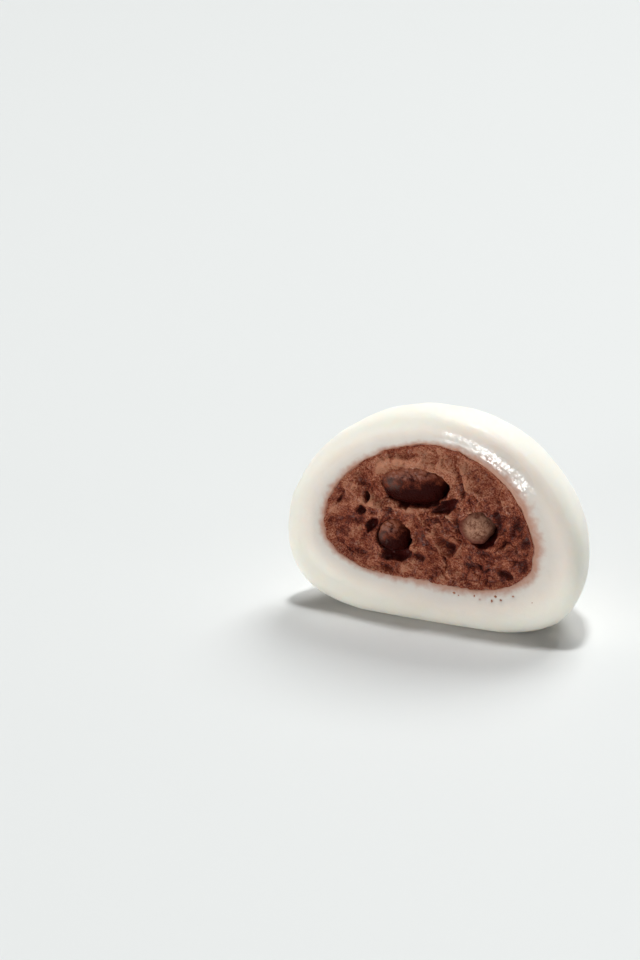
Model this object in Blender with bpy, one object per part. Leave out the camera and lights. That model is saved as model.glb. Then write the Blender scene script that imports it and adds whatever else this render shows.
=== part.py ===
"""Half of a filled rice cake, cut through its middle and resting on its flat base.

Soft rice dough wraps a coarse bean paste, and three whole beans show in the cut.
Units are metres and +Z is up. The cut faces -Y, and +X runs along its lower edge.
"""
import math

import bmesh
import bpy
import numpy as np

# The dome, measured from the middle of the cut's lower edge. A wave is the times that it
# comes round, its size as a share of the radius, and its turn.
HALF_WIDTH = 0.0296
DEPTH = 0.0292
HEIGHT = 0.0425
WIDEST_LEVEL = 0.0135
BASE_SINK = 0.0005
LOWER_FULLNESS, LOWER_BACK_FULLNESS = 3.1, 4.2
SHOULDER_SLOPE = 0.016
DOME_WAVES = ((2, 0.026, 0.98), (3, -0.005, 2.1))

# The filling, as its outline in the cut
FILL_CENTRE_X = 0.0008
FILL_CENTRE_Z = 0.0182
FILL_HALF_WIDTH = 0.0201
FILL_RISE = 0.0172
FILL_DROP = 0.0097
FILL_DEPTH = 0.0205
FILL_UPPER_FULLNESS = 1.8
FILL_LOWER_FULLNESS = 2.8
FILL_WAVES = ((2, -0.038, -1.6), (3, 0.024, -1.8))

# The cut edge: how far it rounds back and inwards, at the top, sides and bottom
EDGE_BACK_TOP, EDGE_BACK_SIDE, EDGE_BACK_BASE = 0.0062, 0.0042, 0.0026
EDGE_REACH_TOP, EDGE_REACH_SIDE, EDGE_REACH_BASE = 0.80, 0.46, 0.34
FACE_BULGE = 0.0005
LIP_WIDTH = 0.0008
LIP_START = 0.97

# The paste's cut surface
PASTE_GAP = 0.0003
PASTE_RECESS = 0.0004
CRAG_HEIGHT = 0.0008
CRAG_SPACING = 0.0046
GRAIN_HEIGHT = 0.00045
GRAIN_SPACING = 0.0022
CRAG_FADE = 0.0035

# Rings of the dough from the back of the dome to the floor of its hollow
AROUND = 72
BACK_RINGS, EDGE_RINGS, FACE_RINGS, LIP_RINGS, HOLLOW_RINGS = 11, 5, 3, 2, 7
PASTE_FRONT_RINGS = 17

# Beans: centre along X and Z, distance behind the cut, half sizes, and turn in the cut
BEANS = {
    "bean_upper": dict(x=-0.0033, z=0.0270, back=0.0016, half=(0.0061, 0.0030, 0.0035), turn=6),
    "bean_right": dict(x=0.0097, z=0.0205, back=0.0016, half=(0.0031, 0.0028, 0.0034), turn=-35),
    "bean_lower": dict(x=-0.0069, z=0.0163, back=0.0016, half=(0.0031, 0.0027, 0.0029), turn=-20),
}
BEAN_FULLNESS = 2.3
BEAN_SEGMENTS, BEAN_RINGS = 24, 12

# Each bean lies at the upper left of a roomier pocket
POCKET_CLEARANCE = 0.0005
POCKET_SHIFT = 0.0004
HOLLOW_SEGMENTS, HOLLOW_CUT_RINGS = 18, 9

# Open hollows in the paste, written as the beans are
HOLLOWS = {
    "crevice": dict(x=0.0037, z=0.0234, back=0.0004, half=(0.0028, 0.0024, 0.0010), turn=31),
    "small_hole": dict(x=-0.0136, z=0.0204, back=0.0004, half=(0.0010, 0.0016, 0.0007), turn=10),
    "slanted_hole": dict(x=-0.0115, z=0.0176, back=0.0004, half=(0.0020, 0.0020, 0.0008), turn=63),
    "lower_hollow": dict(x=-0.0061, z=0.0130, back=0.0004, half=(0.0028, 0.0022, 0.0017), turn=14),
    "side_groove": dict(x=0.0067, z=0.0289, back=0.0, half=(0.0025, 0.0014, 0.0008), turn=-66),
    "left_pit": dict(x=-0.0123, z=0.0238, back=0.0002, half=(0.0013, 0.0014, 0.0010), turn=-30),
    "edge_pit": dict(x=-0.0176, z=0.0228, back=0.0003, half=(0.0014, 0.0013, 0.0008), turn=35),
}

DOUGH_COLOUR = (0.83, 0.79, 0.71)
PASTE_COLOUR = (0.17, 0.05, 0.03)
BEAN_COLOURS = {
    "bean_upper": (0.06, 0.012, 0.01),
    "bean_right": (0.23, 0.12, 0.08),
    "bean_lower": (0.06, 0.014, 0.012),
}


def smooth_step(start, end, value):
    """Ease from 0 at start to 1 at end."""
    share = np.clip((value - start) / (end - start), 0, 1)
    return share * share * (3 - 2 * share)


def value_noise(along, up, spacing, seed):
    """Smooth random heights from -1 to 1, on a square lattice of the given spacing."""
    heights = np.random.default_rng(seed).uniform(-1, 1, (64, 64))
    column, row = along / spacing + 32, up / spacing + 32
    left, low = np.floor(column).astype(int), np.floor(row).astype(int)
    across, rise = smooth_step(0, 1, column - left), smooth_step(0, 1, row - low)
    below = heights[left, low] * (1 - across) + heights[left + 1, low] * across
    above = heights[left, low + 1] * (1 - across) + heights[left + 1, low + 1] * across
    return below * (1 - rise) + above * rise


def waves(angle, sizes):
    """The sum of the given waves round the cut."""
    return sum(size * np.sin(times * angle + turn) for times, size, turn in sizes)


def dome_point(angle, opening):
    """A point of the dome's skin.

    The angle turns round the Y axis in the cut, and the opening swings from straight
    back at 0 to the plane of the cut at a right angle. The skin is an ellipsoid whose
    lower part is fuller, most of all at the back. It is a little uneven, and flat where
    it would pass below the table.
    """
    across = np.sin(opening) * np.cos(angle)
    back = np.cos(opening)
    up = np.sin(opening) * np.sin(angle)
    level = np.hypot(across / HALF_WIDTH, back / DEPTH)
    lift = np.abs(up) / np.where(up > 0, HEIGHT - WIDEST_LEVEL, WIDEST_LEVEL + BASE_SINK)
    rearward = back ** 2 / np.maximum(across ** 2 + back ** 2, 1e-9)
    lowest = LOWER_FULLNESS + (LOWER_BACK_FULLNESS - LOWER_FULLNESS) * rearward
    fullness = lowest - (lowest - 2) * smooth_step(-0.50, 0.21, up)
    reach = (level ** fullness + lift ** fullness) ** (-1 / fullness)
    steep = np.arctan2(lift, level)
    reach *= 1 - SHOULDER_SLOPE * np.where(up > 0, np.sin(2 * steep) ** 2, 0)
    uneven = waves(angle, DOME_WAVES) * np.sin(opening) ** 2
    reach *= 1 + uneven * smooth_step(-0.35, 0.30, up)
    height = np.maximum(WIDEST_LEVEL + reach * up, 0)
    return np.stack([reach * across, reach * back, height], -1)


def fill_outline(angle, inset=0.0):
    """The filling's outline in the cut: an oval with a flatter underside."""
    across, up = np.cos(angle), np.sin(angle)
    rise = np.where(up > 0, FILL_RISE, FILL_DROP)
    fullness = np.where(up > 0, FILL_UPPER_FULLNESS, FILL_LOWER_FULLNESS)
    reach = (np.abs(across / FILL_HALF_WIDTH) ** fullness + np.abs(up / rise) ** fullness) ** (-1 / fullness)
    reach = reach * (1 + waves(angle, FILL_WAVES)) - inset
    return reach * across, reach * up


def hollow_point(angle, share, inset=0.0):
    """A point of the hollow: its outline shrinks to the hollow's floor as share falls to 0."""
    across, up = fill_outline(angle, inset)
    swing = share * math.pi / 2
    back = (FILL_DEPTH - inset) * np.cos(swing)
    return np.stack([FILL_CENTRE_X + across * np.sin(swing), back, FILL_CENTRE_Z + up * np.sin(swing)], -1)


def edge_size(angle, top, side, base):
    """Blend a size of the cut edge from the top, by the sides, to the base."""
    up = np.sin(angle)
    return np.where(up > 0, side + (top - side) * up ** 2, side + (base - side) * up ** 2)


def bend(start, corner, end, share):
    """A curve that leaves start towards corner and comes into end from it."""
    share = share[:, None]
    return start * (1 - share) ** 2 + corner * 2 * share * (1 - share) + end * share ** 2


def dough_point(angle, stage):
    """The dough's profile: 0 to 1 back, 2 round the edge, 3 face, 4 lip, 5 hollow."""
    corner = dome_point(angle, np.full_like(angle, math.pi / 2))
    back = edge_size(angle, EDGE_BACK_TOP, EDGE_BACK_SIDE, EDGE_BACK_BASE)
    reach = edge_size(angle, EDGE_REACH_TOP, EDGE_REACH_SIDE, EDGE_REACH_BASE)
    band = np.hypot(corner[:, 0], corner[:, 2] - WIDEST_LEVEL)
    edge_opening = np.arccos(np.clip(back / band, 0, 1))
    across, up = fill_outline(angle, -LIP_WIDTH)
    inner = np.stack([FILL_CENTRE_X + across, np.zeros_like(across), FILL_CENTRE_Z + up], -1)
    rounded = corner + (inner - corner) * reach[:, None]
    across, up = fill_outline(angle)
    lip_corner = np.stack([FILL_CENTRE_X + across, np.zeros_like(across), FILL_CENTRE_Z + up], -1)

    share = [np.clip(stage - step, 0, 1) for step in range(5)]
    skin = dome_point(angle, edge_opening * share[0])
    edge = bend(dome_point(angle, edge_opening), corner, rounded, share[1])
    face = rounded + (inner - rounded) * share[2][:, None]
    face[:, 1] -= FACE_BULGE * np.sin(math.pi * share[2])
    lip = bend(inner, lip_corner, hollow_point(angle, np.full_like(angle, LIP_START)), share[3])
    hollow = hollow_point(angle, LIP_START * (1 - share[4]))
    part = np.minimum(stage.astype(int), 4)[:, None]
    return np.select([part == 0, part == 1, part == 2, part == 3], [skin, edge, face, lip], hollow)


def paste_relief(x, z, from_rim):
    """How far the paste's cut surface lies behind the cut, less rough towards the rim."""
    crags = CRAG_HEIGHT * value_noise(x, z, CRAG_SPACING, 11)
    grain = GRAIN_HEIGHT * value_noise(x, z, GRAIN_SPACING, 12)
    return PASTE_RECESS + (crags + grain) * (0.25 + 0.75 * smooth_step(0, CRAG_FADE, from_rim))


def paste_point(angle, stage):
    """The paste's profile: 0 to 1 the back, up to the lip, and 1 to 2 its cut surface."""
    back = hollow_point(angle, LIP_START * np.clip(stage, 0, 1), PASTE_GAP)
    rim = hollow_point(angle, np.full_like(angle, LIP_START), PASTE_GAP)
    inwards = np.clip(stage - 1, 0, 1)[:, None]
    middle = np.array([FILL_CENTRE_X, 0, FILL_CENTRE_Z])
    front = rim + (middle - rim) * inwards
    from_rim = np.hypot(front[:, 0] - rim[:, 0], front[:, 2] - rim[:, 2])
    front[:, 1] = paste_relief(front[:, 0], front[:, 2], from_rim)
    return np.where(stage[:, None] <= 1, back, front)


def shape_sphere(name, segments, rings, place):
    """A sphere whose lower pole becomes the back, moved to where place puts each ring."""
    bm = bmesh.new()
    bmesh.ops.create_uvsphere(bm, u_segments=segments, v_segments=rings, radius=1)
    mesh = bpy.data.meshes.new(name)
    bm.to_mesh(mesh)
    bm.free()
    points = np.empty(len(mesh.vertices) * 3)
    mesh.vertices.foreach_get("co", points)
    points = points.reshape(-1, 3)
    ring = rings * (1 - np.arccos(np.clip(points[:, 2], -1, 1)) / math.pi)
    angle = np.arctan2(points[:, 1], points[:, 0])
    mesh.vertices.foreach_set("co", place(angle, np.round(ring)).ravel())
    mesh.shade_smooth()
    return mesh


def oval_mesh(name, half, segments, rings):
    """An oval body with the given half sizes, a little squarer than an ellipsoid."""
    bm = bmesh.new()
    bmesh.ops.create_uvsphere(bm, u_segments=segments, v_segments=rings, radius=1)
    for vert in bm.verts:
        spread = sum(abs(value) ** BEAN_FULLNESS for value in vert.co) ** (-1 / BEAN_FULLNESS)
        vert.co = [value * spread * size for value, size in zip(vert.co, half)]
    mesh = bpy.data.meshes.new(name)
    bm.to_mesh(mesh)
    bm.free()
    mesh.shade_smooth()
    return mesh


def add_object(name, mesh, collection, location=(0, 0, 0), turn=0):
    """Put a mesh in a collection, turned in the plane of the cut."""
    obj = bpy.data.objects.new(name, mesh)
    obj.location = location
    obj.rotation_euler = (0, -math.radians(turn), 0)
    collection.objects.link(obj)
    return obj


def add_material(obj, colour, roughness, subsurface=0.0):
    """Give an object its own non-metallic material."""
    material = bpy.data.materials.new(obj.name)
    material.use_nodes = True
    shader = material.node_tree.nodes["Principled BSDF"]
    shader.inputs["Base Color"].default_value = (*colour, 1)
    shader.inputs["Roughness"].default_value = roughness
    shader.inputs["Metallic"].default_value = 0
    shader.inputs["Subsurface Weight"].default_value = subsurface
    obj.data.materials.append(material)


def add_collection(name):
    """A new collection in the scene."""
    collection = bpy.data.collections.new(name)
    bpy.context.scene.collection.children.link(collection)
    return collection


def make_dough(parts, centre_y):
    """The rice dough, one skin from the dome's back round the cut edge into the hollow."""
    steps = np.cumsum([0, BACK_RINGS, EDGE_RINGS, FACE_RINGS, LIP_RINGS, HOLLOW_RINGS])

    def place(angle, ring):
        return dough_point(angle, np.interp(ring, steps, range(len(steps))))

    mesh = shape_sphere("rice_dough", AROUND, int(steps[-1]), place)
    dough = add_object("rice_dough", mesh, parts, (0, -centre_y, 0))
    add_material(dough, DOUGH_COLOUR, 0.45, 0.2)


def make_paste(parts, cutters, centre_y):
    """The bean paste, cut out for each bean's pocket and each open hollow."""
    steps = [0, HOLLOW_RINGS, HOLLOW_RINGS + PASTE_FRONT_RINGS]

    def place(angle, ring):
        return paste_point(angle, np.interp(ring, steps, range(len(steps))))

    mesh = shape_sphere("bean_paste", AROUND, steps[-1], place)
    paste = add_object("bean_paste", mesh, parts, (0, -centre_y, 0))
    add_material(paste, PASTE_COLOUR, 0.6)
    pockets = {
        f"{name}_pocket": dict(
            bean,
            x=bean["x"] + POCKET_SHIFT,
            z=bean["z"] - POCKET_SHIFT,
            half=[size + POCKET_CLEARANCE + POCKET_SHIFT for size in bean["half"]],
        )
        for name, bean in BEANS.items()
    }
    for name, hole in {**pockets, **HOLLOWS}.items():
        rings = (BEAN_SEGMENTS, BEAN_RINGS) if name in pockets else (HOLLOW_SEGMENTS, HOLLOW_CUT_RINGS)
        mesh = oval_mesh(name, hole["half"], *rings)
        place = (hole["x"], hole["back"] - centre_y, hole["z"])
        cutter = add_object(name, mesh, cutters, place, hole["turn"])
        cutter.hide_render = True
        cutter.display_type = "WIRE"
        cut = paste.modifiers.new(name, "BOOLEAN")
        cut.operation = "DIFFERENCE"
        cut.object = cutter
        cut.solver = "EXACT"


def make_beans(parts, centre_y):
    """The whole beans that lie in the cut."""
    for name, bean in BEANS.items():
        mesh = oval_mesh(name, bean["half"], BEAN_SEGMENTS, BEAN_RINGS)
        place = (bean["x"], bean["back"] - centre_y, bean["z"])
        obj = add_object(name, mesh, parts, place, bean["turn"])
        add_material(obj, BEAN_COLOURS[name], 0.35)


def main():
    for obj in list(bpy.data.objects):
        bpy.data.objects.remove(obj, do_unlink=True)
    parts = add_collection("rice_cake_half")
    cutters = add_collection("cutters")
    front = min(bean["back"] - bean["half"][1] for bean in BEANS.values())
    centre_y = (DEPTH + front) / 2
    make_dough(parts, centre_y)
    make_paste(parts, cutters, centre_y)
    make_beans(parts, centre_y)


main()
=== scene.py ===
"""Half of a filled rice cake, dressed for its picture.

A ball of pounded rice dough is wrapped round coarse sweet bean paste, sagged a little on
its base, and cut in two with a wet blade. Sizes below are in millimetres, measured from
the middle of the cut's lower edge: x along the edge, y back into the cake, z up.
"""
import math

import bmesh
import bpy
import numpy as np
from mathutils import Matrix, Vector


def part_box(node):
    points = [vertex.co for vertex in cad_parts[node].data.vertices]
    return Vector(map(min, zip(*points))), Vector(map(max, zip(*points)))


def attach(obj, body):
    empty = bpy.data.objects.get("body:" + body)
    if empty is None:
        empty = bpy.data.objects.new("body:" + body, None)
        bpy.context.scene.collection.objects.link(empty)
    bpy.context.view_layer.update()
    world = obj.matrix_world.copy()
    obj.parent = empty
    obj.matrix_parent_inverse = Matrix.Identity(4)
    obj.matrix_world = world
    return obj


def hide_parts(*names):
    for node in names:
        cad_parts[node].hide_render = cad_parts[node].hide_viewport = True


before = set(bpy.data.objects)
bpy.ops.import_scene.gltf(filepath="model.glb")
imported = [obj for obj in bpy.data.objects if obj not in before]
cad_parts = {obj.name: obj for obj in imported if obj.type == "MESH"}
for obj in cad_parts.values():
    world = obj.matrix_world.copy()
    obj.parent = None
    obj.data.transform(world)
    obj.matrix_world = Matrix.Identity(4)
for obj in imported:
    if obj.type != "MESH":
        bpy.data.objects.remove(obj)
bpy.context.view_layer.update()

# The camera stands 0.8 m away, a little to the right of the cut and above it. The cake
# fills the lower right of the frame, so the camera is turned to look past it.
CAMERA_TURN = math.radians(25)
CAMERA_RISE = math.radians(20)
CAMERA_DISTANCE = 0.8
PIXELS_PER_MM = 5.4
FRAME_PIXELS = (640, 960)
CUT_FOOT_PIXEL = (427.1, 623.9)
SENSOR_MM = 36

# The cut's lower edge lies ahead of the box's middle, which is the frame's origin
cake_depth = 29.2
cut_foot = Vector((0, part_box("rice_dough")[1][1] - cake_depth / 1000, 0))

to_camera = Vector(
    (
        math.sin(CAMERA_TURN) * math.cos(CAMERA_RISE),
        -math.cos(CAMERA_TURN) * math.cos(CAMERA_RISE),
        math.sin(CAMERA_RISE),
    )
)
camera_right = Vector((math.cos(CAMERA_TURN), math.sin(CAMERA_TURN), 0))
camera_up = to_camera.cross(camera_right)
metres_per_pixel = 0.001 / PIXELS_PER_MM
aim = cut_foot
aim = aim - camera_right * (CUT_FOOT_PIXEL[0] - FRAME_PIXELS[0] / 2) * metres_per_pixel
aim = aim + camera_up * (CUT_FOOT_PIXEL[1] - FRAME_PIXELS[1] / 2) * metres_per_pixel

camera = bpy.data.objects.new("camera", bpy.data.cameras.new("camera"))
camera.location = cut_foot + to_camera * CAMERA_DISTANCE
camera.rotation_euler = (aim - camera.location).to_track_quat("-Z", "Y").to_euler()
camera.data.sensor_width = SENSOR_MM
camera.data.lens = CAMERA_DISTANCE / metres_per_pixel * SENSOR_MM / max(FRAME_PIXELS)
camera.data.clip_start = 0.01
bpy.context.collection.objects.link(camera)
bpy.context.scene.camera = camera
bpy.context.scene.view_settings.view_transform = "Standard"

# The rice dough: glutinous rice pounded to a soft elastic skin about 8 mm thick. The blade
# drags its outer skin over the cut, so the edge is round, and the dough stands a little
# proud of the filling, wet and puckered along the filling's upper right edge.

# Sizes of the dome, of the filling's outline, and of the cut's edge, face and lip
half_width = 29.6
cake_height = 42.5
widest_level = 13.5
base_sink = 0.5
lower_fullness, lower_back_fullness = 3.1, 4.2
shoulder_slope = 0.016
dome_waves = ((2, 0.026, 0.98), (3, -0.005, 2.1))
fill_centre = (0.8, 18.2)
fill_half_width, fill_rise, fill_drop, fill_depth = 20.1, 17.2, 9.7, 20.5
fill_upper_fullness, fill_lower_fullness = 1.8, 2.8
fill_waves = ((2, -0.038, -1.6), (3, 0.024, -1.8))
edge_back = (6.2, 4.2, 2.6)
edge_reach = (0.80, 0.46, 0.34)
face_bulge = 0.045
edge_lead = 0.9
edge_lead_at, edge_lead_sharpness = math.radians(52), 2.2
lip_width = 0.8
lip_start = 0.97
rim_ripples = ((4.1, 0.20, 21), (1.9, 0.14, 27), (0.8, 0.08, 28))

# Crumbs of paste on the cut: each one's place across and up, and its radius. The last two
# lie far from the filling. The dough is stained where the distance to a crumb, times the
# slope and added to the least value, is less than the distance to the filling.
crumbs = (
    (5.6, 7.2, 0.20), (6.6, 6.9, 0.12), (9.8, 7.3, 0.24), (11.0, 6.8, 0.14),
    (13.4, 6.9, 0.26), (14.1, 7.8, 0.20), (15.2, 7.3, 0.14), (17.6, 8.4, 0.12),
    (-8.9, 8.9, 0.14), (-15.0, 11.2, 0.12), (21.4, 7.8, 0.12), (-27.2, 18.2, 0.11),
)
crumb_stain_least, crumb_stain_slope = 0.75, 1.5


def smooth_step(start, end, value):
    """Rise from 0 at start to 1 at end, level at both: 3 t squared less 2 t cubed."""
    share = np.clip((value - start) / (end - start), 0, 1)
    return share * share * (3 - 2 * share)


def bell(value, width):
    """A bell curve: e to the power of minus the square of value over width."""
    return np.exp(-((value / width) ** 2))


def waves(angle, sizes):
    """Sum of sines round the cut, each with its times round, size and turn."""
    return sum(size * np.sin(times * angle + turn) for times, size, turn in sizes)


def lattice_noise(x, z, spacing, seed):
    """Random heights from -1 to 1 on a square lattice, eased between its corners."""
    heights = np.random.default_rng(seed).uniform(-1, 1, (64, 64))
    column, row = x / spacing + 32, z / spacing + 32
    left, low = np.floor(column).astype(int), np.floor(row).astype(int)
    across, rise = smooth_step(0, 1, column - left), smooth_step(0, 1, row - low)
    left, low, right, high = left % 64, low % 64, (left + 1) % 64, (low + 1) % 64
    below = heights[left, low] * (1 - across) + heights[right, low] * across
    above = heights[left, high] * (1 - across) + heights[right, high] * across
    return below * (1 - rise) + above * rise


def dome_skin(angle, opening):
    """The dome: level and lift, each raised to the fullness, sum to one on the skin."""
    across = np.sin(opening) * np.cos(angle)
    back = np.cos(opening)
    up = np.sin(opening) * np.sin(angle)
    level = np.hypot(across / half_width, back / cake_depth)
    lift = np.abs(up) / np.where(up > 0, cake_height - widest_level, widest_level + base_sink)
    rearward = back**2 / np.maximum(across**2 + back**2, 1e-9)
    lowest = lower_fullness + (lower_back_fullness - lower_fullness) * rearward
    fullness = lowest - (lowest - 2) * smooth_step(-0.50, 0.21, up)
    reach = (level**fullness + lift**fullness) ** (-1 / fullness)
    steep = np.arctan2(lift, level)
    reach *= 1 - shoulder_slope * np.where(up > 0, np.sin(2 * steep) ** 2, 0)
    uneven = waves(angle, dome_waves) * np.sin(opening) ** 2
    reach *= 1 + uneven * smooth_step(-0.35, 0.30, up)
    height = np.maximum(widest_level + reach * up, 0)
    return np.stack([reach * across, reach * back, height], -1)


def fill_outline(angle, inset=0.0):
    """The filling's edge in the cut: an oval, flatter below, with low waves and ripples."""
    across, up = np.cos(angle), np.sin(angle)
    rise = np.where(up > 0, fill_rise, fill_drop)
    fullness = np.where(up > 0, fill_upper_fullness, fill_lower_fullness)
    reach = (np.abs(across / fill_half_width) ** fullness + np.abs(up / rise) ** fullness) ** (-1 / fullness)
    reach = reach * (1 + waves(angle, fill_waves)) - inset
    ripples = [
        size * lattice_noise(reach * across, reach * up, length, seed) for length, size, seed in rim_ripples
    ]
    reach = reach + sum(ripples)
    return reach * across, reach * up


def hollow_wall(angle, share, inset=0.0):
    """The filling's shape: its outline times sin, its depth times cos, of a quarter turn."""
    across, up = fill_outline(angle, inset)
    swing = share * math.pi / 2
    back = (fill_depth - inset) * np.cos(swing)
    return np.stack([fill_centre[0] + across * np.sin(swing), back, fill_centre[1] + up * np.sin(swing)], -1)


def round_the_cut(angle, sizes):
    """Blend a size from the top of the cut, by its sides, to its base."""
    top, side, base = sizes
    up = np.sin(angle)
    return np.where(up > 0, side + (top - side) * up**2, side + (base - side) * up**2)


def bend(start, corner, end, share):
    """A quadratic curve from start towards corner, coming into end from corner."""
    share = share[..., None]
    return start * (1 - share) ** 2 + corner * 2 * share * (1 - share) + end * share**2


def flat_point(x, z):
    """A point in the plane of the cut."""
    return np.stack([x, np.zeros_like(x), z], -1)


def filling_edge(angle, inset=0.0):
    """The filling's outline in the cut. It stands forward by the lead, times e to the
    sharpness times cosine less one of the angle from its upper right."""
    across, up = fill_outline(angle, inset)
    edge = flat_point(fill_centre[0] + across, fill_centre[1] + up)
    edge[..., 1] -= edge_lead * np.exp(edge_lead_sharpness * (np.cos(angle - edge_lead_at) - 1))
    return edge


def lip_curve(angle, share):
    """The lip: a bend from the face, by the filling's edge, into the hollow's wall."""
    outer = filling_edge(angle, -lip_width)
    corner = filling_edge(angle)
    return bend(outer, corner, hollow_wall(angle, np.full_like(angle, lip_start)), share)


def dough_surface(angle, stage):
    """The dough's profile: 0 to 1 dome, to 2 cut edge, to 3 face, to 4 lip, to 5 hollow."""
    corner = dome_skin(angle, np.full_like(angle, math.pi / 2))
    band = np.hypot(corner[..., 0], corner[..., 2] - widest_level)
    edge_opening = np.arccos(np.clip(round_the_cut(angle, edge_back) / band, 0, 1))
    inner = filling_edge(angle, -lip_width)
    rounded = corner + (inner - corner) * round_the_cut(angle, edge_reach)[..., None]
    share = [np.clip(stage - step, 0, 1) for step in range(5)]
    skin = dome_skin(angle, edge_opening * share[0])
    edge = bend(dome_skin(angle, edge_opening), corner, rounded, share[1])
    face = rounded + (inner - rounded) * share[2][..., None]
    face[..., 1] -= face_bulge * np.linalg.norm(inner - rounded, axis=-1) * np.sin(math.pi * share[2]) ** 2
    lip = lip_curve(angle, share[3])
    hollow = hollow_wall(angle, lip_start * (1 - share[4]))
    part = np.minimum(stage.astype(int), 4)[..., None]
    return np.select([part == 0, part == 1, part == 2, part == 3], [skin, edge, face, lip], hollow)


def turned_noise(x, z, spacing, seed):
    """The lattice noise with its squares turned by a different angle for each seed."""
    turn = 2.4 * seed
    across, rise = x * math.cos(turn) - z * math.sin(turn), x * math.sin(turn) + z * math.cos(turn)
    return lattice_noise(across, rise, spacing, seed)


def outward(points):
    """Unit normals of a grid of rings: the cross product of its two directions."""
    around_step = np.roll(points, -1, axis=1) - np.roll(points, 1, axis=1)
    normal = np.cross(around_step, np.gradient(points, axis=0))
    return normal / np.maximum(np.linalg.norm(normal, axis=-1, keepdims=True), 1e-9)


def filling_distance(points):
    """About how far, in millimetres, a point lies outside the filling's edge."""
    x, z = points[..., 0] - fill_centre[0], points[..., 2] - fill_centre[1]
    across, up = fill_outline(np.arctan2(z, x))
    return np.hypot(x, z) - np.hypot(across, up)


def closed_mesh(name, points):
    """A closed skin from rings of points: quads round the rings, a fan at both ends."""
    rings, around = points.shape[:2]
    first, last = points[0].mean(0), points[-1].mean(0)
    verts = np.concatenate([points.reshape(-1, 3), [first, last]])
    verts = verts / 1000 + np.array(cut_foot)
    ring, column = np.meshgrid(np.arange(rings - 1), np.arange(around), indexing="ij")
    following = (column + 1) % around
    here, beyond = ring * around, (ring + 1) * around
    quads = np.stack([here + column, here + following, beyond + following, beyond + column], -1).reshape(-1, 4)
    column = np.arange(around)
    following = (column + 1) % around
    start = np.stack([np.full(around, rings * around), following, column], -1)
    base = (rings - 1) * around
    end = np.stack([np.full(around, rings * around + 1), base + column, base + following], -1)
    mesh = bpy.data.meshes.new(name)
    corners = np.concatenate([quads.ravel(), start.ravel(), end.ravel()])
    sizes = np.concatenate([np.full(len(quads), 4), np.full(2 * around, 3)])
    mesh.vertices.add(len(verts))
    mesh.vertices.foreach_set("co", verts.ravel())
    mesh.loops.add(len(corners))
    mesh.loops.foreach_set("vertex_index", corners)
    mesh.polygons.add(len(sizes))
    mesh.polygons.foreach_set("loop_start", np.concatenate([[0], np.cumsum(sizes)[:-1]]))
    mesh.update(calc_edges=True)
    mesh.validate()
    mesh.shade_smooth()
    return mesh


def add_piece(name, mesh, slot, *nodes):
    """Put a mesh in the scene as a piece that stands for the given solids."""
    piece = bpy.data.objects.new(name, mesh)
    bpy.context.collection.objects.link(piece)
    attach(piece, "root")
    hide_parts(*nodes)
    return piece


def point_value(mesh, name, values):
    """Store one number for each point, with nought for the two end points."""
    layer = mesh.attributes.new(name, "FLOAT", "POINT")
    layer.data.foreach_set("value", np.concatenate([values.ravel(), [0, 0]]).astype(np.float32))


def srgb(code):
    """A hex colour as linear red, green, blue and full alpha."""
    parts = [int(code[at : at + 2], 16) / 255 for at in (1, 3, 5)]
    linear = [part / 12.92 if part <= 0.04045 else ((part + 0.055) / 1.055) ** 2.4 for part in parts]
    return (*linear, 1)


def add_node(tree, kind, settings=None, **links):
    """Add a shader node, set its properties, and set or link its inputs by name."""
    node = tree.nodes.new(kind)
    for name, value in (settings or {}).items():
        setattr(node, name, value)
    for name, value in links.items():
        by_number = name[0] == "_" and name[1:].isdigit()
        socket = node.inputs[int(name[1:]) if by_number else name.replace("_", " ")]
        if isinstance(value, bpy.types.NodeSocket):
            tree.links.new(value, socket)
        else:
            socket.default_value = value
    return node


def new_material(name):
    """An empty node material with its output."""
    material = bpy.data.materials.new(name)
    material.use_nodes = True
    material.node_tree.nodes.clear()
    return material, material.node_tree, material.node_tree.nodes.new("ShaderNodeOutputMaterial")


# Rings run from the dome's back to the hollow's. Columns run clockwise, and crowd at the
# turn where the wet band lies, because its puckers are the finest shapes.
around = 540
crowding, crowded_at = 0.45, math.radians(308)
stages = np.concatenate(
    [
        np.linspace(0.015, 1, 62)[:-1],
        np.linspace(1, 2, 27)[:-1],
        np.linspace(2, 3, 32)[:-1],
        np.linspace(3, 4, 10)[:-1],
        np.linspace(4, 4.98, 14),
    ]
)
turn = np.linspace(0, 2 * math.pi, around, endpoint=False)
turn = turn - crowding * np.sin(turn - crowded_at)
stage, angle = np.meshgrid(stages, -turn, indexing="ij")
dough_points = dough_surface(angle, stage)
x, y, z = np.moveaxis(dough_points, -1, 0)
distance = filling_distance(dough_points)
on_cut = smooth_step(0.95, 1.9, stage) * (1 - smooth_step(3.1, 3.9, stage))
direction = np.degrees(np.arctan2(z - fill_centre[1], x - fill_centre[0]))

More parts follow.
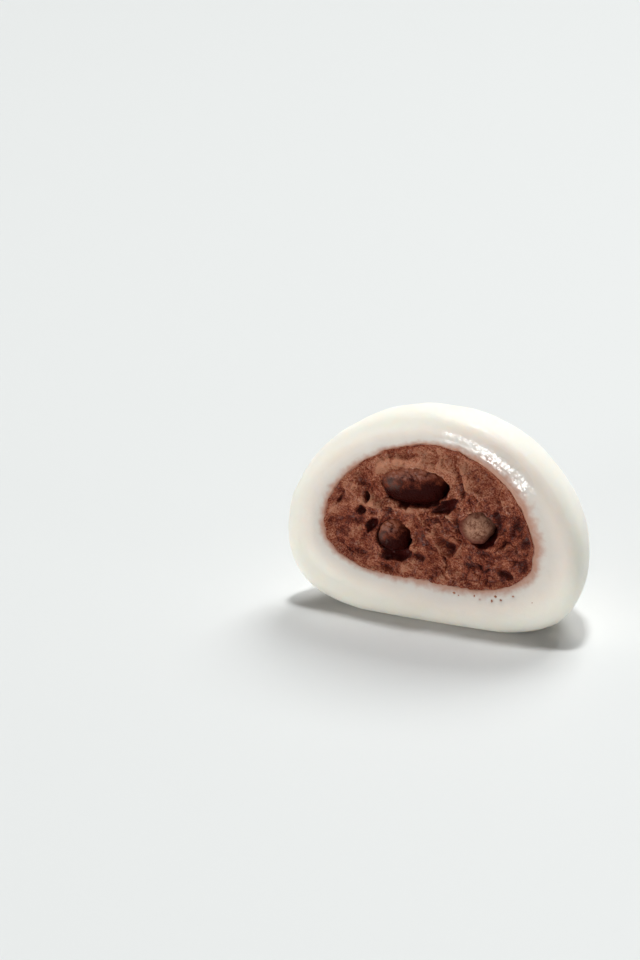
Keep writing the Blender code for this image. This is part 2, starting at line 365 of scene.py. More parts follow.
# The wet band lies between these directions in degrees, and these distances from the
# filling. Its puckers and the dough's lumps are spacing, height and seed of each noise.
wet_starts, wet_weakens, wet_ends = (24, 36), (46, 64), (78, 98)
wet_inside, wet_outside = (0.7, 2.0), (3.6, 6.4)
mean_edge_radius = 20
wet_swell = 0.05
pucker_sizes, pucker_stretch = ((0.42, 0.022, 22), (0.30, 0.012, 29)), 0.10
lump_sizes = ((5.5, 0.13, 24), (2.1, 0.05, 25))
wet = smooth_step(*wet_starts, direction)
wet *= 1 - 0.75 * smooth_step(*wet_weakens, direction) - 0.25 * smooth_step(*wet_ends, direction)
wet *= on_cut * smooth_step(*wet_inside, distance) * (1 - smooth_step(*wet_outside, distance))
along_edge = np.radians(direction) * mean_edge_radius
pucker = wet_swell * turned_noise(x, z, 1.6, 23)
for spacing, height, seed in pucker_sizes:
    pucker = pucker + height * lattice_noise(along_edge, distance * pucker_stretch, spacing, seed)
lumps = 0.02 * on_cut * turned_noise(x, z, 0.9, 26)
for spacing, height, seed in lump_sizes:
    lumps = lumps + height * turned_noise(x + 0.6 * y, z - 0.5 * y, spacing, seed)
lumps *= smooth_step(0.0, 0.9, z) * (1 - smooth_step(3.0, 3.6, stage))
dough_points = dough_points + outward(dough_points) * (wet * pucker + lumps)[..., None]
cut_points = dough_points[(stage > 1.3) & (stage < 3.3)]
dough_mesh = closed_mesh("rice_dough_skin", dough_points)

# The stain: distance from the filling over the stain's width, which is a size in
# millimetres plus bells of direction: height, middle and spread in degrees
stain_least = 1.25
stain_bells = ((1.0, 20, 45), (0.3, 50, 20), (0.3, -80, 50), (-0.4, 100, 35))
unstained = 9
stain_width = stain_least + sum(
    height * bell(direction - middle, spread) for height, middle, spread in stain_bells
)
from_filling = np.where(stage > 3.2, 0, np.maximum(distance, 0)) / stain_width
from_filling = np.maximum(from_filling, unstained * (1 - smooth_step(1.0, 1.7, stage)))
for crumb_x, crumb_z, _ in crumbs[:-2]:
    from_crumb = crumb_stain_least + crumb_stain_slope * np.hypot(x - crumb_x, z - crumb_z)
    from_filling = np.where(stage > 1.2, np.minimum(from_filling, from_crumb), from_filling)
point_value(dough_mesh, "from_filling", from_filling)
point_value(dough_mesh, "on_cut", on_cut)
point_value(dough_mesh, "wet", wet)
dough = add_piece("rice_dough_skin", dough_mesh, "rice_dough", "rice_dough")

# Cooked glutinous rice dough: dense, milky and a little see-through, so light spreads a
# millimetre or two inside it. The cut is moist, the outside dull with starch, and the bean
# paste has stained and smeared about a millimetre of the dough round it.
material, tree, out = new_material("pounded_rice_dough")
coord = add_node(tree, "ShaderNodeTexCoord")
near = add_node(tree, "ShaderNodeAttribute", {"attribute_name": "from_filling"})
cut = add_node(tree, "ShaderNodeAttribute", {"attribute_name": "on_cut"})
wet_band = add_node(tree, "ShaderNodeAttribute", {"attribute_name": "wet"})
# Here and below, a noise's scale is 1000 over the pattern's size in millimetres
cloud = add_node(tree, "ShaderNodeTexNoise", Vector=coord.outputs["Object"], Scale=1000 / 7, Detail=4.0)
colours, eased = {"data_type": "RGBA"}, {"interpolation_type": "SMOOTHSTEP"}
added, multiplied = {"operation": "ADD"}, {"operation": "MULTIPLY"}
milky = add_node(
    tree, "ShaderNodeMix", colours, _0=cloud.outputs["Fac"], _6=srgb("#FCF0E4"), _7=srgb("#FEF4E9")
)
# Near the filling the cut is painted greyer: painted shade, where the paste behind the thin dough takes up
# light
halo_amount = add_node(
    tree, "ShaderNodeMapRange", eased,
    Value=near.outputs["Fac"], From_Min=0.5, From_Max=5.0, To_Min=0.85, To_Max=0.0,
)
halo_on_cut = add_node(
    tree, "ShaderNodeMath", multiplied, _0=halo_amount.outputs["Result"], _1=cut.outputs["Fac"]
)
shaded_near_filling = add_node(
    tree, "ShaderNodeMix", colours, _0=halo_on_cut.outputs[0], _6=milky.outputs[2], _7=srgb("#D8D3CC")
)
ragged = add_node(
    tree, "ShaderNodeTexNoise", Vector=coord.outputs["Object"], Scale=1000 / 1.4, Detail=2.5, Roughness=0.5
)
spread = add_node(
    tree, "ShaderNodeMapRange",
    Value=ragged.outputs["Fac"], From_Min=0.25, From_Max=0.75, To_Min=-0.30, To_Max=0.30,
)
reach = add_node(tree, "ShaderNodeMath", added, _0=near.outputs["Fac"], _1=spread.outputs["Result"])
stain_amount = add_node(
    tree, "ShaderNodeMapRange", eased,
    Value=reach.outputs[0], From_Min=0.3, From_Max=1.6, To_Min=0.88, To_Max=0.0,
)
stained = add_node(
    tree, "ShaderNodeMix", colours, _0=stain_amount.outputs["Result"], _6=shaded_near_filling.outputs[2], _7=srgb("#BA846A")
)
smear_amount = add_node(
    tree, "ShaderNodeMapRange", eased,
    Value=reach.outputs[0], From_Min=-0.25, From_Max=0.22, To_Min=1.0, To_Max=0.0,
)
smeared = add_node(
    tree, "ShaderNodeMix", colours, _0=smear_amount.outputs["Result"], _6=stained.outputs[2], _7=srgb("#A56650")
)
moist_gloss = add_node(tree, "ShaderNodeMapRange", Value=cut.outputs["Fac"], To_Min=0.60, To_Max=0.40)
wet_gloss = add_node(
    tree, "ShaderNodeMapRange", Value=wet_band.outputs["Fac"], From_Max=0.6, To_Min=0.0, To_Max=-0.25
)
wet_film = add_node(
    tree, "ShaderNodeMapRange", Value=wet_band.outputs["Fac"], From_Max=0.5, To_Min=0.0, To_Max=1.0
)
gloss = add_node(
    tree, "ShaderNodeMath", added, _0=moist_gloss.outputs["Result"], _1=wet_gloss.outputs["Result"]
)
grain = add_node(tree, "ShaderNodeTexNoise", Vector=coord.outputs["Object"], Scale=1000 / 0.8, Detail=5.0)
bump = add_node(tree, "ShaderNodeBump", Strength=0.25, Distance=0.0003, Height=grain.outputs["Fac"])
# The film of water shrivels about three times finer than this, too fine for the picture
shrivel = add_node(tree, "ShaderNodeTexNoise", Vector=coord.outputs["Object"], Scale=1000 / 0.6, Detail=0.0)
film_bump = add_node(tree, "ShaderNodeBump", Strength=1.0, Distance=0.00006, Height=shrivel.outputs["Fac"])
shader = add_node(
    tree,
    "ShaderNodeBsdfPrincipled",
    Base_Color=smeared.outputs[2],
    Roughness=gloss.outputs[0],
    Normal=bump.outputs["Normal"],
    Subsurface_Weight=1.0,
    Subsurface_Radius=(1.0, 0.85, 0.72),
    Subsurface_Scale=0.0016,
    IOR=1.45,
    Coat_Weight=wet_film.outputs["Result"],
    Coat_Roughness=0.14,
    Coat_IOR=1.6,
    Coat_Normal=film_bump.outputs["Normal"],
)
tree.links.new(shader.outputs[0], out.inputs["Surface"])
dough.data.materials.append(material)

# The bean paste: azuki boiled with sugar and half crushed, so skins, broken flesh and a few
# whole beans stay in it. The blade tears it into crags, folds and pits. Depths below are
# how far the surface lies behind the cut, in millimetres, so a fold has one below nought.

# Crags and clods are spacing, depth and seed of each noise. A hollow is an oval with half
# sizes across, back and up, and a stroke is a path with its width and depth.
paste_recess = 0.4
crag_sizes = ((4.6, 0.80, 11), (2.2, 0.45, 12))
clod_sizes = ((1.6, 0.34, 13), (0.8, 0.22, 14), (0.42, 0.14, 15), (0.24, 0.08, 16))
seam_depth, crack_depth = 0.45, 0.30
paste_swell = 0.9
crag_fade = 3.5
bean_fullness = 2.3
beans = {
    "bean_upper": dict(x=-3.1, z=26.8, back=1.6, half=(6.6, 3.1, 3.8), turn=7),
    "bean_right": dict(x=9.7, z=20.5, back=1.6, half=(3.2, 2.8, 3.5), turn=-35),
    "bean_lower": dict(x=-6.9, z=16.3, back=1.6, half=(3.2, 2.7, 3.1), turn=-20),
}
pocket_room = {"bean_upper": -0.10, "bean_right": 0.0, "bean_lower": 0.25}
pocket_shift = {"bean_upper": (0.80, -0.45), "bean_right": (1.00, -0.60), "bean_lower": (0.15, -0.35)}
hollows = (
    dict(x=3.7, z=23.4, back=0.4, half=(3.4, 2.6, 1.35), turn=31),
    dict(x=-13.6, z=20.4, back=0.4, half=(1.1, 1.8, 0.8), turn=10),
    dict(x=-11.5, z=17.6, back=0.4, half=(2.4, 2.2, 1.0), turn=63),
    dict(x=-6.1, z=13.1, back=0.6, half=(3.3, 2.4, 2.1), turn=14),
    dict(x=6.7, z=28.4, back=0.0, half=(2.3, 1.2, 0.6), turn=-66),
    dict(x=-12.2, z=23.6, back=0.2, half=(1.2, 1.5, 0.7), turn=-40),
    dict(x=-17.8, z=22.0, back=0.2, half=(1.3, 1.0, 0.5), turn=55),
)
strokes = (
    (((-20.8, 19.0), (-18.2, 20.6), (-15.5, 21.6), (-10.0, 22.8)), 1.0, -0.80),
    (((-20.0, 17.0), (-16.0, 18.8), (-13.4, 18.6)), 0.9, 0.35),
    (((-15.1, 27.0), (-14.5, 24.7), (-13.7, 23.1), (-10.4, 22.6)), 0.8, -0.70),
    (((-13.0, 27.5), (-12.2, 25.5)), 1.0, 0.50),
    (((-9.8, 29.2), (-8.2, 30.4), (-5.0, 31.3), (-1.5, 31.6)), 0.8, -0.90),
    (((-7.6, 32.3), (-5.9, 32.7), (-4.1, 32.2)), 0.5, 0.60),
    (((-10.0, 22.4), (-5.9, 21.9), (-0.4, 22.6)), 0.9, -0.70),
    (((-0.4, 23.3), (1.4, 24.2), (4.4, 25.4)), 0.6, -0.60),
    (((5.6, 31.3), (6.7, 29.4), (7.4, 26.6)), 0.55, 0.75),
    (((7.6, 31.0), (9.0, 28.0), (9.4, 26.4)), 0.9, -0.55),
    (((6.3, 23.2), (5.6, 20.4), (6.6, 16.8)), 0.7, 0.45),
    (((14.0, 23.6), (14.4, 21.2), (13.2, 18.7), (10.8, 16.9)), 0.55, 0.70),
    (((11.8, 15.2), (14.8, 17.3), (16.9, 20.0), (18.6, 23.1)), 0.60, 0.50),
    (((12.8, 14.3), (15.9, 16.0), (19.9, 18.7)), 0.60, 0.42),
    (((15.6, 16.6), (18.0, 18.8), (19.6, 21.4)), 0.60, -0.35),
    (((13.6, 16.4), (15.9, 18.9), (17.2, 22.0)), 0.55, -0.40),
    (((1.9, 15.9), (2.6, 14.2), (4.6, 13.3), (6.3, 14.7), (6.8, 16.6)), 0.40, -0.85),
    (((3.0, 16.5), (4.9, 15.3)), 0.70, 0.95),
    (((-9.6, 12.4), (-7.0, 12.6), (-4.8, 14.0)), 0.35, -1.10),
    (((-3.6, 12.9), (-1.0, 12.9)), 0.50, 0.90),
    (((-2.2, 18.6), (0.2, 15.6), (1.2, 12.4)), 0.8, 0.35),
    (((7.7, 12.7), (10.8, 12.9)), 0.45, 0.70),
    (((14.6, 12.2), (16.6, 11.8)), 0.50, 0.85),
    (((-9.4, 10.4), (-7.9, 9.4)), 0.60, 0.80),
    (((11.0, 31.4), (13.6, 29.0)), 0.7, 0.35),
    (((-15.6, 12.4), (-12.6, 11.6)), 0.8, 0.45),
)


def oval_reach(x, z, spot, fullness=bean_fullness):
    """How far out a point lies in a turned oval: 0 at its middle and 1 on its outline."""
    turn = math.radians(spot["turn"])
    along = (x - spot["x"]) * math.cos(turn) + (z - spot["z"]) * math.sin(turn)
    across = (z - spot["z"]) * math.cos(turn) - (x - spot["x"]) * math.sin(turn)
    wide, _, tall = spot["half"]
    return (np.abs(along / wide) ** fullness + np.abs(across / tall) ** fullness) ** (1 / fullness)


def stroke_share(x, z, path, width):
    """One on a path, falling away as a bell curve of the distance over the width."""
    nearest = np.full(x.shape, np.inf)
    for (x0, z0), (x1, z1) in zip(path, path[1:]):
        run, rise = x1 - x0, z1 - z0
        share = np.clip(((x - x0) * run + (z - z0) * rise) / (run**2 + rise**2), 0, 1)
        nearest = np.minimum(nearest, np.hypot(x - x0 - share * run, z - z0 - share * rise))
    return bell(nearest, width)


def paste_relief(x, z, from_rim, rim_depth):
    """Depth of the torn paste, and how dark it is: crags, then clods, seams and cracks on
    coordinates bent by noise, then folds, then the deeper of that and each oval hollow."""
    calm = 0.25 + 0.75 * smooth_step(0, crag_fade, from_rim)
    crags = sum(height * lattice_noise(x, z, spacing, seed) for spacing, height, seed in crag_sizes)
    bent_x = x + 0.55 * turned_noise(x, z, 1.9, 41) + 0.20 * turned_noise(x, z, 0.7, 43)
    bent_z = z + 0.55 * turned_noise(x, z, 1.9, 42) + 0.20 * turned_noise(x, z, 0.7, 44)
    rough = 0.45 + 0.75 * smooth_step(-0.45, 0.45, turned_noise(x, z, 4.0, 45))
    clods = rough * sum(
        height * turned_noise(bent_x, bent_z, spacing, seed) for spacing, height, seed in clod_sizes
    )
    seamed = smooth_step(-0.1, 0.5, turned_noise(x, z, 3.5, 47))
    seams = seamed * bell(turned_noise(bent_x, bent_z, 2.4, 46), 0.09)
    cracked = smooth_step(-0.2, 0.4, turned_noise(x, z, 5.0, 54) + 0.04 * (x - 4))
    cracks = cracked * bell(turned_noise(bent_x, bent_z, 1.3, 53), 0.10)
    fine = clods + seam_depth * seams + crack_depth * cracks
    fine = fine * (0.45 + 0.55 * smooth_step(0, 1.5, from_rim))
    half_bent_x, half_bent_z = 0.5 * (x + bent_x), 0.5 * (z + bent_z)
    folds = sum(
        depth * stroke_share(half_bent_x, half_bent_z, path, width) for path, width, depth in strokes
    )
    level = paste_recess + crags * calm
    depth = level + fine + folds
    swell = paste_swell * smooth_step(0, 6.5, from_rim) * smooth_step(15, 27, z)
    ragged = 1 + 0.07 * turned_noise(x, z, 1.6, 31) + 0.05 * turned_noise(x, z, 0.7, 32)
    pockets = [
        dict(
            bean,
            x=bean["x"] + pocket_shift[name][0],
            z=bean["z"] + pocket_shift[name][1],
            half=[size + pocket_room[name] for size in bean["half"]],
        )
        for name, bean in beans.items()
    ]
    for spot in pockets:
        reach = oval_reach(x, z, spot) * ragged
        floor = spot["back"] + spot["half"][1] * np.sqrt(np.clip(1 - reach**2, 0, 1))
        depth = depth + (1 - smooth_step(0.92, 1.05, reach)) * np.maximum(floor - depth, 0)
    for spot in hollows:
        reach = oval_reach(bent_x, bent_z, spot, 1.5)
        floor = spot["back"] + spot["half"][1] * np.sqrt(np.clip(1 - reach**2, 0, 1))
        depth = depth + (1 - smooth_step(0.60, 1.35, reach)) * np.maximum(floor - depth, 0)
    settle = smooth_step(0, 1.3, from_rim)
    # Painted shade: the deeper the paste lies behind its crags, the darker it is painted, so pits, seams,
    # pockets and hollows go nearly black. Painted light: it is painted paler towards its top. It is also a
    # little darker towards the right
    dark = depth - level - 0.15 * np.maximum(folds, 0) - 0.5 * np.minimum(folds, 0)
    dark = dark - 0.42 * smooth_step(23, 31, z) + 0.12 * smooth_step(6, 16, x)
    return rim_depth + (depth - swell - rim_depth) * settle, dark * settle


def paste_surface(angle, stage):
    """The paste: 0 to 1 its back as the hollow's wall, 1 to 2 its cut, in to the middle."""
    back = hollow_wall(angle, lip_start * np.clip(stage, 0, 1), -0.1)
    across, up = fill_outline(angle)
    laps = 0.42 + 0.22 * turned_noise(across, up, 1.3, 48) + 0.12 * turned_noise(across, up, 0.5, 49)
    rim = lip_curve(angle, laps)
    inwards = np.clip(stage - 1, 0, 1)[..., None]
    middle = flat_point(np.full_like(angle, fill_centre[0]), np.full_like(angle, fill_centre[1]))
    front = rim + (middle - rim) * inwards
    from_rim = np.hypot(front[..., 0] - rim[..., 0], front[..., 2] - rim[..., 2])
    front[..., 1], hollow = paste_relief(front[..., 0], front[..., 2], from_rim, rim[..., 1] - 0.05)
    buried = stage[..., None] <= 1
    return np.where(buried, back, front), np.where(stage <= 1, 0, hollow)


around = 680
stages = np.concatenate([np.linspace(0.02, 0.995, 8), np.linspace(1.0001, 1.998, 134)])
turn = np.linspace(0, 2 * math.pi, around, endpoint=False)
stage, angle = np.meshgrid(stages, -turn, indexing="ij")
paste_points, hollow = paste_surface(angle, stage)
paste_mesh = closed_mesh("bean_paste_cut", paste_points)
point_value(paste_mesh, "hollow", hollow)
paste = add_piece("bean_paste_cut", paste_mesh, "bean_paste", "bean_paste")

# Crushed azuki with its skins: reddish brown, paler and pinkish in random patches of dry,
# floury flesh. Its pits, seams, pockets and hollows are painted almost black as painted shade,
# and the paste is painted paler towards its top as painted light, and a little darker towards
# the right. Small wet specks catch the light. The flecks are drawn 0.3 mm wide, about twice
# the real ones, so that they show.
material, tree, out = new_material("crushed_azuki_paste")
coord = add_node(tree, "ShaderNodeTexCoord")
sunk = add_node(tree, "ShaderNodeAttribute", {"attribute_name": "hollow"})
patch = add_node(
    tree, "ShaderNodeTexNoise", Vector=coord.outputs["Object"], Scale=1000 / 2.6, Detail=6.0, Roughness=0.7
)
fleck = add_node(
    tree, "ShaderNodeTexNoise", Vector=coord.outputs["Object"], Scale=1000 / 0.30, Detail=3.0, Roughness=0.65
)
patchy = add_node(
    tree, "ShaderNodeMapRange",
    Value=patch.outputs["Fac"], From_Min=0.3, From_Max=0.7, To_Min=-0.42, To_Max=0.42,
)
flecky = add_node(
    tree, "ShaderNodeMapRange",
    Value=fleck.outputs["Fac"], From_Min=0.3, From_Max=0.7, To_Min=-0.60, To_Max=0.60,
)
mottle = add_node(
    tree, "ShaderNodeMath", added, _0=patchy.outputs["Result"], _1=flecky.outputs["Result"]
)
darkness = add_node(tree, "ShaderNodeMath", added, _0=mottle.outputs[0], _1=sunk.outputs["Fac"])
scaled = add_node(tree, "ShaderNodeMapRange", Value=darkness.outputs[0], From_Min=-0.9, From_Max=1.6)
tone = add_node(tree, "ShaderNodeValToRGB", Fac=scaled.outputs["Result"])
ramp = tone.color_ramp
ramp.elements[0].position, ramp.elements[0].color = 0.12, srgb("#C28466")
ramp.elements[1].position, ramp.elements[1].color = 0.95, srgb("#4A0D06")
for position, code in ((0.25, "#AC654A"), (0.39, "#8B4129"), (0.54, "#5E2012"), (0.74, "#3E1008")):
    ramp.elements.new(position).color = srgb(code)
grit = add_node(
    tree, "ShaderNodeTexNoise", Vector=coord.outputs["Object"], Scale=1000 / 0.35, Detail=5.0, Roughness=0.7
)
bump = add_node(tree, "ShaderNodeBump", Strength=1.0, Distance=0.0004, Height=grit.outputs["Fac"])
speck = add_node(tree, "ShaderNodeTexNoise", Vector=coord.outputs["Object"], Scale=1000 / 0.7, Detail=2.0)
wet_specks = add_node(tree, "ShaderNodeMapRange", Value=speck.outputs["Fac"], From_Min=0.56, From_Max=0.64)
moist = add_node(
    tree, "ShaderNodeMapRange",
    Value=grit.outputs["Fac"], From_Min=0.35, From_Max=0.7, To_Min=0.65, To_Max=0.22,
)
shader = add_node(
    tree,
    "ShaderNodeBsdfPrincipled",
    Base_Color=tone.outputs[0],
    Roughness=moist.outputs["Result"],
    Normal=bump.outputs["Normal"],
    Subsurface_Weight=0.1,
    Subsurface_Radius=(1.0, 0.4, 0.25),
    Subsurface_Scale=0.0005,
    Specular_IOR_Level=0.20,
    Coat_Weight=wet_specks.outputs["Result"],
    Coat_Roughness=0.20,
    Coat_IOR=1.7,
    Coat_Normal=bump.outputs["Normal"],
)
tree.links.new(shader.outputs[0], out.inputs["Surface"])
paste.data.materials.append(material)

# The beans: whole azuki boiled soft. Two keep their dark red skins, wet, and painted nearly
# black below as painted shade, with a film of paste and painted light on top. The third has
# lost its skin and shows floury flesh.
bean_taper = {"bean_upper": 0.10, "bean_right": 0.0, "bean_lower": -0.06}
bean_creases = {"bean_upper": 1.0, "bean_right": 2.6, "bean_lower": 1.8}
# A bean's lift moves where its painted shade below and its film and painted light on top begin
bean_lift = {"bean_upper": 0.0, "bean_right": 0.0, "bean_lower": 0.05}


def bean_surface(name, angle, polar):
    """A squarish oval: a unit sphere eased to its fullness, times its half sizes, made
    thinner at one end and creased by noise, then turned."""
    bean = beans[name]
    ball = np.stack([np.sin(polar) * np.cos(angle), np.sin(polar) * np.sin(angle), np.cos(polar)], -1)
    ball = ball * (np.abs(ball) ** bean_fullness).sum(-1, keepdims=True) ** (-1 / bean_fullness)
    along, back, across = np.moveaxis(ball * np.array(bean["half"]), -1, 0)
    across = across * (1 + bean_taper[name] * ball[..., 0])
    creases = 0.07 * turned_noise(along + back, across, 1.7, 51)
    creases = creases + 0.04 * turned_noise(along + 0.5 * back, across + back, 0.7, 52)
    swell = 1 + bean_creases[name] * creases / bean["half"][2]
    along, back, across = along * swell, back * swell, across * swell
    turn = math.radians(bean["turn"])
    x = along * math.cos(turn) - across * math.sin(turn)
    z = across * math.cos(turn) + along * math.sin(turn)
    return np.stack([bean["x"] + x, bean["back"] + back, bean["z"] + z], -1)


def add_bean(name, slot):
    """A bean's mesh, with how far each point faces up and how near the outline it is."""
    rings = np.linspace(0.02, math.pi - 0.02, 110)
    columns = np.linspace(0, 2 * math.pi, 200, endpoint=False)
    polar, angle = np.meshgrid(rings, columns, indexing="ij")
    points = bean_surface(name, angle, polar)
    mesh = closed_mesh(f"{name}_skin", points)
    bean = beans[name]
    x, z = points[..., 0] - bean["x"], points[..., 2] - bean["z"]
    point_value(mesh, "raised", z / bean["half"][2] + bean_lift[name])
    point_value(mesh, "rightward", x / bean["half"][0])
    point_value(mesh, "outline", oval_reach(points[..., 0], points[..., 2], bean))
    return add_piece(f"{name}_skin", mesh, slot, name)


# Boiled azuki skin: a thin dark red coat that wrinkles. It is wet, and painted nearly black
# below as painted shade. On top it is glossy and painted paler: partly a film of paste, partly
# painted light. A grey patch at its left is a painted sheen, a painted reflection of the room.
material, tree, out = new_material("boiled_azuki_skin")
coord = add_node(tree, "ShaderNodeTexCoord")
raised = add_node(tree, "ShaderNodeAttribute", {"attribute_name": "raised"})
rightward = add_node(tree, "ShaderNodeAttribute", {"attribute_name": "rightward"})
mottle = add_node(
    tree, "ShaderNodeTexNoise", Vector=coord.outputs["Object"], Scale=1000 / 1.3, Detail=6.0, Roughness=0.75
)
wrinkle = add_node(
    tree, "ShaderNodeTexNoise", Vector=coord.outputs["Object"], Scale=1000 / 0.6, Detail=4.0, Roughness=0.6
)
skin = add_node(tree, "ShaderNodeValToRGB", Fac=mottle.outputs["Fac"])
skin.color_ramp.elements[0].position, skin.color_ramp.elements[0].color = 0.38, srgb("#35100A")
skin.color_ramp.elements[1].position, skin.color_ramp.elements[1].color = 0.62, srgb("#7C3C29")
unevenly = add_node(
    tree, "ShaderNodeMapRange",
    Value=mottle.outputs["Fac"], From_Min=0.3, From_Max=0.7, To_Min=-0.30, To_Max=0.30,
)
scaled_sum = {"operation": "MULTIPLY_ADD"}
slant = add_node(
    tree, "ShaderNodeMath", scaled_sum, _0=rightward.outputs["Fac"], _1=-0.35, _2=raised.outputs["Fac"]
)
height = add_node(tree, "ShaderNodeMath", added, _0=slant.outputs[0], _1=unevenly.outputs["Result"])
# Painted shade: the skin is painted nearly black below a slanted height
below = add_node(
    tree, "ShaderNodeMapRange", eased,
    Value=height.outputs[0], From_Min=-0.20, From_Max=0.40, To_Min=1.0, To_Max=0.0,
)
dark = add_node(
    tree, "ShaderNodeMix", colours, _0=below.outputs["Result"], _6=skin.outputs[0], _7=srgb("#2C0805")
)
# Painted on top: partly a film of paste, partly painted light on the bean's lit upper side
film_and_light_amount = add_node(
    tree, "ShaderNodeMapRange", eased, Value=height.outputs[0], From_Min=0.30, From_Max=0.85
)
film_and_lit_top = add_node(
    tree, "ShaderNodeMix", colours, _0=film_and_light_amount.outputs["Result"], _6=dark.outputs[2], _7=srgb("#9A5A42")
)
dull = add_node(
    tree, "ShaderNodeMapRange",
    Value=height.outputs[0], From_Min=-0.4, From_Max=0.9, To_Min=0.32, To_Max=0.48,
)
wet_patch = add_node(
    tree, "ShaderNodeMapRange",
    Value=height.outputs[0], From_Min=0.30, From_Max=0.90, To_Min=0.0, To_Max=1.0,
)
# Painted reflection: a grey sheen painted at the upper left of each bean
beside = add_node(tree, "ShaderNodeMath", added, _0=rightward.outputs["Fac"], _1=0.55)
sheen_at = add_node(tree, "ShaderNodeCombineXYZ", X=beside.outputs[0], Y=raised.outputs["Fac"])
sheen_far = add_node(tree, "ShaderNodeVectorMath", {"operation": "LENGTH"}, _0=sheen_at.outputs[0])
sheen_ragged = add_node(
    tree, "ShaderNodeMath", added, _0=sheen_far.outputs["Value"], _1=unevenly.outputs["Result"]
)
painted_sheen = add_node(
    tree, "ShaderNodeMapRange", eased,
    Value=sheen_ragged.outputs[0], From_Min=0.0, From_Max=0.42, To_Min=0.42, To_Max=0.0,
)
with_sheen = add_node(
    tree, "ShaderNodeMix", colours, _0=painted_sheen.outputs["Result"], _6=film_and_lit_top.outputs[2], _7=srgb("#74615A")
)
bump = add_node(tree, "ShaderNodeBump", Strength=0.8, Distance=0.0004, Height=wrinkle.outputs["Fac"])
shader = add_node(
    tree,
    "ShaderNodeBsdfPrincipled",
    Base_Color=with_sheen.outputs[2],
    Roughness=dull.outputs["Result"],
    Normal=bump.outputs["Normal"],
    Specular_IOR_Level=0.04,
    Coat_Weight=wet_patch.outputs["Result"],
    Coat_Roughness=0.20,
    Coat_IOR=1.7,
    Coat_Normal=bump.outputs["Normal"],
)
tree.links.new(shader.outputs[0], out.inputs["Surface"])
for name in ("bean_upper", "bean_lower"):
    add_bean(name, "bean_skin").data.materials.append(material)

# Boiled azuki flesh: pale, floury and dull, with brown rags of skin and paste round its
# edge, most of them at the left. It is also a little darker towards its bottom.
material, tree, out = new_material("boiled_azuki_flesh")
coord = add_node(tree, "ShaderNodeTexCoord")
outline = add_node(tree, "ShaderNodeAttribute", {"attribute_name": "outline"})
raised = add_node(tree, "ShaderNodeAttribute", {"attribute_name": "raised"})
rightward = add_node(tree, "ShaderNodeAttribute", {"attribute_name": "rightward"})
flour = add_node(
    tree, "ShaderNodeTexNoise", Vector=coord.outputs["Object"], Scale=1000 / 0.9, Detail=6.0, Roughness=0.8
)
flesh = add_node(tree, "ShaderNodeValToRGB", Fac=flour.outputs["Fac"])
flesh.color_ramp.elements[0].position, flesh.color_ramp.elements[0].color = 0.41, srgb("#74402C")
flesh.color_ramp.elements[1].position, flesh.color_ramp.elements[1].color = 0.58, srgb("#C29074")
unevenly = add_node(
    tree, "ShaderNodeMapRange",
    Value=flour.outputs["Fac"], From_Min=0.3, From_Max=0.7, To_Min=-0.35, To_Max=0.35,
)
rags = add_node(tree, "ShaderNodeMath", added, _0=outline.outputs["Fac"], _1=unevenly.outputs["Result"])
lower = add_node(
    tree, "ShaderNodeMath", scaled_sum, _0=raised.outputs["Fac"], _1=-0.15, _2=rags.outputs[0]
)
leftward = add_node(
    tree, "ShaderNodeMath", scaled_sum, _0=rightward.outputs["Fac"], _1=-0.30, _2=lower.outputs[0]
)
edge = add_node(tree, "ShaderNodeMapRange", eased, Value=leftward.outputs[0], From_Min=0.45, From_Max=1.0)
tint = add_node(
    tree, "ShaderNodeMix", colours, _0=edge.outputs["Result"], _6=flesh.outputs[0], _7=srgb("#743626")
)
bump = add_node(tree, "ShaderNodeBump", Strength=1.0, Distance=0.0005, Height=flour.outputs["Fac"])
shader = add_node(
    tree,
    "ShaderNodeBsdfPrincipled",
    Base_Color=tint.outputs[2],
    Roughness=0.55,
    Normal=bump.outputs["Normal"],
    Specular_IOR_Level=0.3,
)
tree.links.new(shader.outputs[0], out.inputs["Surface"])
add_bean("bean_right", "bean_flesh").data.materials.append(material)

# Crumbs: bits of paste that the blade dragged on to the moist dough, most of them just
# below the filling, and stuck there, with a little of the dough stained round each.
def crumb_surface(x, z, radius, seed):
    """A ball with noise on its radius, flattened against the nearest point of the cut."""
    rings = np.linspace(0.15, math.pi - 0.15, 9)
    columns = np.linspace(0, 2 * math.pi, 14, endpoint=False)
    polar, angle = np.meshgrid(rings, columns, indexing="ij")
    uneven = turned_noise(5 * np.cos(angle) + seed, 5 * np.sin(angle) + 3 * polar, 2.3, 61)
    size = radius * (1 + 0.6 * uneven)
    nearest = np.argmin(np.hypot(cut_points[:, 0] - x, cut_points[:, 2] - z))
    across = size * np.sin(polar) * np.cos(angle) * (1 + 0.6 * math.cos(seed))
    back = 0.3 * size * np.sin(polar) * np.sin(angle)
    up = 0.9 * size * np.cos(polar)
    return np.stack([x + across, cut_points[nearest, 1] + back, z + up], -1)


crumb_tone = -0.75
crumb_mesh = bmesh.new()
for seed, (x, z, radius) in enumerate(crumbs):
    crumb_mesh.from_mesh(closed_mesh("crumb", crumb_surface(x, z, radius, seed)))
mesh = bpy.data.meshes.new("paste_crumbs")
crumb_mesh.to_mesh(mesh)
mesh.shade_smooth()
tones = np.full(len(mesh.vertices), crumb_tone, np.float32)
mesh.attributes.new("hollow", "FLOAT", "POINT").data.foreach_set("value", tones)
mesh.materials.append(paste.data.materials[0])
crumb_piece = bpy.data.objects.new("paste_crumbs", mesh)
bpy.context.collection.objects.link(crumb_piece)
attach(crumb_piece, "root")

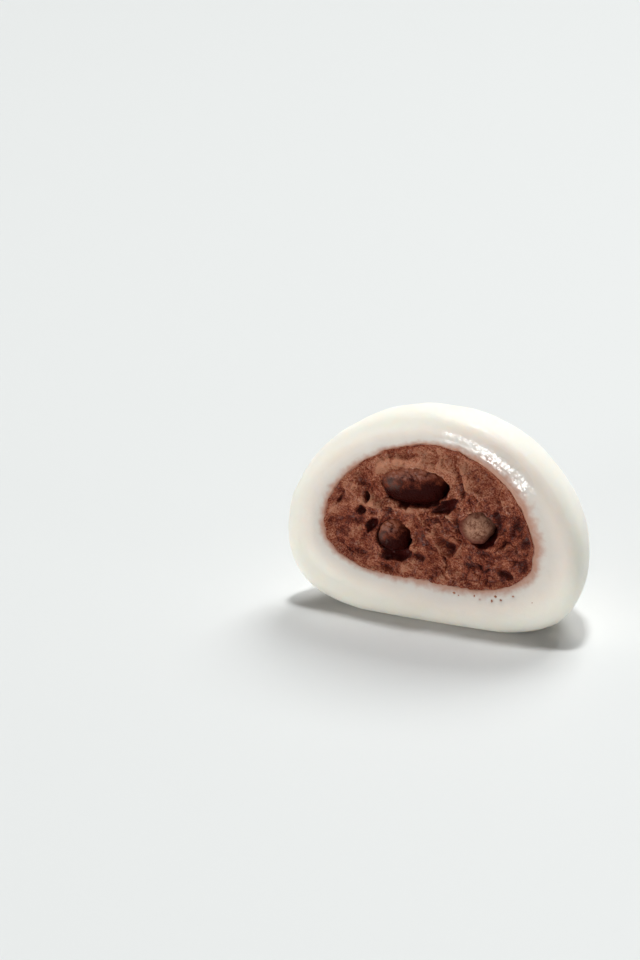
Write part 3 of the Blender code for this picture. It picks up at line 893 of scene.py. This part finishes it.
# The set: a matt white table that runs on behind, under a small lamp overhead and a large
# one behind, with three low ones: left, right and in front. White walls glow low down.
table_half = 3.0
table_mesh = bpy.data.meshes.new("table")
signs = ((-1, -1), (1, -1), (1, 1), (-1, 1))
table_corners = [(across * table_half, back * table_half, 0) for across, back in signs]
table_mesh.from_pydata(table_corners, [], [(0, 1, 2, 3)])
table = bpy.data.objects.new("table", table_mesh)
bpy.context.collection.objects.link(table)
material, tree, out = new_material("matt_white_table")
shader = add_node(tree, "ShaderNodeBsdfPrincipled", Base_Color=srgb("#DCDFDE"), Roughness=0.6)
tree.links.new(shader.outputs[0], out.inputs["Surface"])
table_mesh.materials.append(material)


lamp_target = Vector((0, 0, 0.02))


def add_lamp(name, place, size, power):
    """A square white lamp in metres and watts, aimed at the cake."""
    light = bpy.data.lights.new(name, "AREA")
    light.size = size
    light.energy = power
    lamp = bpy.data.objects.new(name, light)
    lamp.location = place
    lamp.rotation_euler = (lamp_target - Vector(place)).to_track_quat("-Z", "Y").to_euler()
    bpy.context.collection.objects.link(lamp)


add_lamp("overhead_lamp", (-0.06, 0.17, 2.4), 0.28, 35.0)
add_lamp("back_lamp", (-0.1, 3.2, 3.8), 2.6, 165.0)
add_lamp("left_lamp", (-1.6, -1.5, 0.20), 0.6, 11.0)
add_lamp("right_lamp", (2.1, -0.5, 0.2), 0.6, 4.0)
add_lamp("front_lamp", (-0.42, -2.15, 0.31), 0.58, 12.0)
world = bpy.data.worlds.new("white_walls")
world.use_nodes = True
tree = world.node_tree
coord = add_node(tree, "ShaderNodeTexCoord")
rise = add_node(tree, "ShaderNodeSeparateXYZ", Vector=coord.outputs["Generated"])
walls = add_node(
    tree, "ShaderNodeMapRange", eased,
    Value=rise.outputs["Z"], From_Min=0.0, From_Max=0.16, To_Min=1.40, To_Max=0.0,
)
tree.links.new(walls.outputs["Result"], tree.nodes["Background"].inputs["Strength"])
tree.nodes["Background"].inputs["Color"].default_value = srgb("#FDFEFF")
bpy.context.scene.world = world
